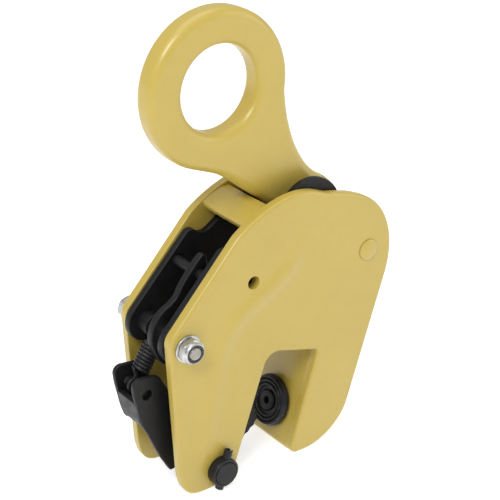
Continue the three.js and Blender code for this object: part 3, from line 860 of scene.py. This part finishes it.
bolt = object_of("bolt_m10", threaded(5.0, -43.2, 38.5, 1.5, 0.55, B, smooth_from=-28.0))
boolean(bolt, [hexagon(B, 17, 37.2, 45.6, 1.3, turn=0.2)], "UNION")
finish_piece(bolt, ZINC, body_of_node["pivot_bolt"], ["pivot_bolt"], 28)
bolt.data.materials.append(BOLT)
for poly in bolt.data.polygons:
    poly.material_index = 1 if poly.center.y * 1000 < 30 else 0
piece("sleeve", turned_y([(5.35, -17.9, 0.2), (7.4, -17.9, 0.4), (7.4, -2.4, 0.4), (5.35, -2.4, 0.2)], B, 56), ZINC, "bolt_sleeve")
piece("collar_far", turned_y([(5.35, OUTER + 0.15, 0.3), (11.4, OUTER + 0.15, 0.4), (11.4, 37.0, 0.8), (5.35, 37.0, 0.3)], B, 72), ZINC, "bolt_collar_far")
piece("washer_near", turned_y([(5.35, -OUTER - 1.7, 0.2), (10.4, -OUTER - 1.7, 0.5), (10.4, -OUTER - 0.15, 0.25), (5.35, -OUTER - 0.15, 0.2)], B, 72), ZINC, "bolt_washer_near")

nut = object_of("lock_nut_m10", hexagon(B, 17, -40.6, -OUTER - 1.9, 1.25, turn=0.35))
boolean(nut, [turned_y([(0, -43), (6.5, -43, 0.3), (7.3, -42.75, 0.6), (8.0, -41.8, 1.5), (8.25, -40.2), (8.25, -39.5), (0, -39.5)], B, 72)], "UNION")
boolean(nut, [turned_y([(0, -49), (6.9, -49), (6.9, -41.6), (5.3, -41.2), (5.3, -20), (0, -20)], B, 72)])
finish_piece(nut, ZINC, body_of_node["lock_nut"], ["lock_nut"], 30)
piece("nylon_ring", turned_y([(5.3, -42.75, 0.3), (6.8, -42.75, 0.3), (6.8, -41.75), (5.3, -41.75)], B, 72), NYLON, "nylon_insert")

# ------------------------------------------------------------------ cam
cam_base = [(-60, 13.4), (-43, 15), (-28, 19.8), (-15, 26.6), (-7, 31.6), (-2, 35.2), (2, 38.4), (6, 42.8), (9.5, 48),
            (12.5, 51.8), (17, 53.8), (23, 54.9), (30, 55.4), (40, 54.4), (48, 51.4), (55, 46), (62, 39.5), (70, 33), (80, 27),
            (92, 22.5), (106, 20.3), (120, 20)]


def cam_r(d):
    return float(np.interp(d, [a for a, _ in cam_base], [r for _, r in cam_base]))


cam_pts = []


def polar(d, r):
    cam_pts.append((K[0] + r * math.cos(math.radians(d)), K[1] + r * math.sin(math.radians(d))))


for d in np.arange(-60, -13, 4):
    polar(d, cam_r(d))
d = -12.0
while d < 45:
    r = cam_r(d)
    st = (4.3 / r) * (180 / math.pi) * (0.72 if d < 11 else 1)
    polar(d - st * 0.06, r - 2.0)
    polar(d, r - 2.2)
    polar(d + st * 0.26, cam_r(d + st * 0.3) + 0.1)
    polar(d + st * 0.34, cam_r(d + st * 0.3) + 0.25)
    d += st
polar(d, cam_r(d) - 1.2)
for q in np.arange(d + 4, 120, 3.5):
    polar(q, cam_r(q))
cam_pts += arc(L1, 9.2, 110, 250, 28)
cam_pts += arc(K, 13.7, 222, 292, 20)
cam = object_of("cam_casting", slab(split_long(cam_pts, 3.0), -10.2, 10.2, 0.35, [circle(K, 9.25, 72)], 0.3, n=2, grid=5.0))


def ray(deg, side, ln):
    q = math.radians(deg)
    return (L1[0] + ln * math.cos(q) - side * 7.2 * math.sin(q), L1[1] + ln * math.sin(q) + side * 7.2 * math.cos(q))


boolean(cam, [
    slab([*arc(L1, 7.2, 161, 304.5, 36), ray(34.5, -1, 80), ray(71, 1, 80)], -4.4, 4.4, 0.02, n=1),
    turned_y([(0, -20), (3.15, -20), (3.15, 20), (0, 20)], L1, 48),
])
finish_piece(cam, BLACKC, body_of_node["cam"], ["cam"], 30)
piece("cam_link_rivet", turned_y([(0, -10), (3, -10, 0.5), (3, 10, 0.5), (0, 10)], L1, 40), BLACKT, "cam_link_pin")

tilt = math.radians(16.5)
pin_dir = np.array([math.sin(tilt), 0.0, math.cos(tilt)])
pin_at = np.array([K[0], -37.0, K[1]])


def on_roll(vf):
    return along(vf, pin_at, pin_dir)


roll_hole = on_roll(turned([(0, -30), (3.4, -30), (3.4, 30), (0, 30)], 40))
piece("cam_axle", turned_y([
    (0, -41.4), (8.9, -41.4, 0.9), (9, 33.1), (13.4, 33.1, 0.4), (13.4, 37.8, 1.5), (0, 37.8)], K, 96),
    BLACKT, "cam_pin", tools=[roll_hole])
piece("axle_collar", turned_y([
    (9.25, -40.7, 0.2), (11.4, -40.7, 1.1), (11.4, -33.1, 0.4), (9.25, -33.1, 0.2)], K, 96),
    BLACKT, "cam_pin_collar", tools=[roll_hole])
roll_section = np.array([*arc((0, 0), 3.2, 112, 428, 44), *arc((0, 0), 1.75, 428, 112, 30)])
rv, rf = slab(roll_section, -13.9, 17.7, 0.45, n=4)
# the slab's thickness runs along Y; stand it along the leaning hole
piece("roll_pin_split", on_roll((rv[:, [0, 1, 2]], rf)), BLACKT, "roll_pin")

# ------------------------------------------------------------------ link
ang = math.degrees(math.atan2(slot_dir[1], slot_dir[0]))


def link_at(c, a, s):
    return (c[0] + slot_dir[0] * a - slot_dir[1] * s, c[1] + slot_dir[1] * a + slot_dir[0] * s)


link_outline = outline([
    *arc(L1, 6.2, ang + 108, ang + 252, 24), (*link_at(L1, 11, -4.6), 8), (*link_at(L2, -16, -5.4), 12),
    *arc(L2, 8.8, ang - 118, ang + 118, 36), (*link_at(L2, -16, 5.4), 12), (*link_at(L1, 11, 4.6), 8),
], step=1.2)
piece("link_bar", slab(link_outline, -4, 4, 0.9, [circle(L1, 3.2, 40), circle(L2, 4.95, 48)], 0.3, n=4, grid=5.0), BLACK, "link")
piece("link_upper_pin", turned_y([(0, -24.1), (4.8, -24.1, 0.6), (4.8, 24.1, 0.6), (0, 24.1)], L2, 48), BLACKT, "link_rocker_pin")

# ------------------------------------------------------------------ lock lever
cheek_top = [(-109.6, 99.8, 6), (-108.4, 88), (-106.2, 77), (-102.2, 60.4)]
cheek_inner = [(-63.5, 46, 8), (-62.5, 64, 9), (-78.4, 80, 10), (-87.6, 97.2, 8)]
near_cheek = outline(up([*cheek_top, (-97.2, 49.7), (-92.2, 38), (-87.2, 27), (-79.4, 13.2, 2.5), (-73.8, 14.6, 3), (-71, 27), *cheek_inner]), straight=25)
far_cheek = outline(up([*cheek_top, (-100.4, 55.4, 3), (-88, 46.4, 8), (-75, 43.5, 14), *cheek_inner]), straight=25)
lever = object_of("lever_casting", slab(near_cheek, -14.5, -10.7, 0.9, [circle(H, 4.1, 48), circle(V, 5.2, 48)], 0.35, n=4, grid=5.0))
boolean(lever, [
    slab(far_cheek, 10.7, 14.5, 0.9, [circle(H, 4.1, 48), circle(V, 5.2, 48)], 0.35, n=4, grid=5.0),
    slab(outline(up([(-106.8, 79, 0.8), (-105.4, 72.8), (-102, 59.4), (-100.2, 56.2, 0.8), (-96.8, 58.2, 0.8), (-98.4, 62),
                     (-101.6, 74), (-102.8, 79.8, 0.8)]), straight=30), -12.5, 12.5, 0.05, n=1, grid=5.0),
], "UNION")
finish_piece(lever, BLACK, body_of_node["lock_lever"], ["lock_lever"], 32)
piece("hook_pin", turned_y([(0, -10.3), (4, -10.3, 0.5), (4, -5, 0.3), (3, -4, 0.2), (3, 9.6, 0.3), (4.05, 10.2, 0.3), (4.05, 14.6, 0.5), (0, 14.6)], H, 48), BLACKT, "spring_pin")
piece("lever_axle", turned_y([(0, -INNER + 0.3), (5, -INNER + 0.3, 0.5), (5, INNER - 0.3, 0.5), (0, INNER - 0.3)], V, 48), BLACKT, "lever_pin")

# ------------------------------------------------------------------ tension spring
def catmull(points, per):
    p = np.array(points, float)
    p = np.vstack([2 * p[0] - p[1], p, 2 * p[-1] - p[-2]])
    out = []
    for i in range(1, len(p) - 2):
        a, b, c, e = p[i - 1], p[i], p[i + 1], p[i + 2]
        t0 = 0.0
        t1 = t0 + np.linalg.norm(b - a) ** 0.5
        t2 = t1 + np.linalg.norm(c - b) ** 0.5
        t3 = t2 + np.linalg.norm(e - c) ** 0.5
        for k in range(per):
            t = t1 + (t2 - t1) * k / per
            a1 = (t1 - t) / (t1 - t0) * a + (t - t0) / (t1 - t0) * b
            a2 = (t2 - t) / (t2 - t1) * b + (t - t1) / (t2 - t1) * c
            a3 = (t3 - t) / (t3 - t2) * c + (t - t2) / (t3 - t2) * e
            b1 = (t2 - t) / (t2 - t0) * a1 + (t - t0) / (t2 - t0) * a2
            b2 = (t3 - t) / (t3 - t1) * a2 + (t - t1) / (t3 - t1) * a3
            out.append((t2 - t) / (t2 - t1) * b1 + (t - t1) / (t2 - t1) * b2)
    out.append(p[-2])
    return np.array(out)


def spring_points():
    y0, rc, turns = 3.3, 5.9, 8
    a, b = np.array([H[0], y0, H[1]]), np.array([B[0], y0, B[1]])
    w = b - a
    ln = np.linalg.norm(w)
    w = w / ln
    u = np.array([0.0, 1.0, 0.0])
    v = np.cross(w, u)
    at = lambda s, p, q: a + w * s + u * p + v * q
    pts = []
    s0, s1, rh = 11.2, ln - 11.8, 4.6
    for k in range(17):
        q = math.radians(-150 + k * 300 / 16)
        pts.append(at(-rh * math.cos(q), 0.25 * (k - 8) / 8, rh * math.sin(q)))
    pts.append(at(8, 0.2, 2.6))
    n = turns * 18
    for k in range(n + 1):
        f = k / n
        q = f * turns * 2 * math.pi
        pts.append(at(s0 + (s1 - s0) * f, rc * math.sin(q), rc * math.cos(q)))
    pts.append(at(ln - 8.6, 0.2, 4))
    for k in range(17):
        q = math.radians(148 - k * 296 / 16)
        pts.append(at(ln + 6.7 * math.cos(q), -0.25 * (k - 8) / 8, 6.7 * math.sin(q)))
    return catmull(pts, 3)


spring = object_of("spring_coil", sweep(spring_points(), 1.2, 14))
spring.data.materials.append(SPRING)
spring.data.shade_smooth()
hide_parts("tension_spring")
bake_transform(spring)

# ------------------------------------------------------------------ swivel pad
pad_prof = [(6.3, 1.0), (10, 1.0, 0.2), (10, 1.8, 0.2), (16.8, 1.8, 0.3), (19.2, 2.4, 0.6), (20.4, 3.6, 0.6), (20.4, 5.8, 0.5), (19.6, 7.1, 0.4)]
r = 18.9
while r > 11:
    pad_prof += [(r, 9.2, 0.3), (r - 1.2, 9.2, 0.3), (r - 2.1, 7.6, 0.3)]
    r -= 3
pad_prof += [(8.6, 7.3, 0.3), (8.6, 5.4, 0.2), (6.3, 5.4, 0.3)]
piece("pad_disc", on_wall(turned(pad_prof, 96)), BLACKT, "swivel_pad")
pb = object_of("pad_screw", on_wall(turned([(0, -29.2), (5.6, -29.2, 0.7), (5.6, 5.7), (7.9, 5.7, 0.2), (7.9, 8.8, 0.9), (0, 8.8)], 72)))
boolean(pb, [on_wall(hexagon((0, 0), 6, 6.2, 12, 0.1))])
finish_piece(pb, BLACKC, body_of_node["pad_bolt"], ["pad_bolt"], 30)
piece("pad_washer_ring", on_wall(turned([(5.9, -20.9, 0.2), (11.6, -20.9, 0.4), (11.6, -19.3, 0.4), (5.9, -19.3, 0.2)], 64)), ZINC, "pad_washer")
piece("pad_nut_hex", on_wall(hexagon((0, 0), 18, -28.7, -21.1, 1.2, hole=5.85)), ZINC, "pad_nut")

# ------------------------------------------------------------------ stage, light and camera
def stage_plane(size):
    me = bpy.data.meshes.new("floor")
    me.from_pydata([(-size, -size, 0), (size, -size, 0), (size, size, 0), (-size, size, 0)], [], [(0, 1, 2, 3)])
    ob = bpy.data.objects.new("floor", me)
    scene.collection.objects.link(ob)
    m, nt, p = new_mat("floor_white")
    p.inputs["Base Color"].default_value = (0.66, 0.66, 0.66, 1)
    p.inputs["Roughness"].default_value = 0.9
    p.inputs["Specular IOR Level"].default_value = 0.0
    p.inputs["Emission Color"].default_value = (1, 1, 1, 1)
    p.inputs["Emission Strength"].default_value = 0.66
    me.materials.append(m)
    return ob


stage_plane(12.0)

world = bpy.data.worlds.new("studio")
world.use_nodes = True
world.node_tree.nodes["Background"].inputs["Color"].default_value = (1.0, 1.0, 1.0, 1)
world.node_tree.nodes["Background"].inputs["Strength"].default_value = 0.55
scene.world = world
scene.view_settings.view_transform = "Standard"
scene.view_settings.look = "None"
scene.view_settings.exposure = 0.0
scene.view_settings.gamma = 1.0


def area(name, loc, target, size, power, color=(1, 1, 1)):
    la = bpy.data.lights.new(name, "AREA")
    la.shape, la.size, la.energy, la.color = "SQUARE", size, power, color
    ob = bpy.data.objects.new(name, la)
    scene.collection.objects.link(ob)
    ob.location = loc
    ob.rotation_mode = "QUATERNION"
    ob.rotation_quaternion = (Vector(target) - Vector(loc)).to_track_quat("-Z", "Y")
    return ob


area("key", (-1.3, -0.9, 1.9), (0, 0, 0.15), 0.8, 30)
area("fill", (1.6, -1.1, 0.8), (0, 0, 0.15), 1.2, 8)
area("top", (0.1, 0.2, 2.2), (0, 0, 0.1), 1.6, 16)

cam_data = bpy.data.cameras.new("camera")
cam_data.lens, cam_data.sensor_width, cam_data.sensor_fit = 99.367, 36.0, "HORIZONTAL"
cam_data.clip_start, cam_data.clip_end = 0.05, 50
camera = bpy.data.objects.new("camera", cam_data)
scene.collection.objects.link(camera)
right = Vector((0.80339922, -0.59542231, 0.0046873))
upv = Vector((0.25200967, 0.34714603, 0.90331654))
back = Vector((-0.53948199, -0.72454255, 0.42894902))
eye = (np.array([-539.48, -724.54 - 4.0, 595.74 + LIFT]) + SHIFT) / 1000
camera.matrix_world = Matrix((
    (right.x, upv.x, back.x, eye[0]),
    (right.y, upv.y, back.y, eye[1]),
    (right.z, upv.z, back.z, eye[2]),
    (0, 0, 0, 1),
))
scene.camera = camera
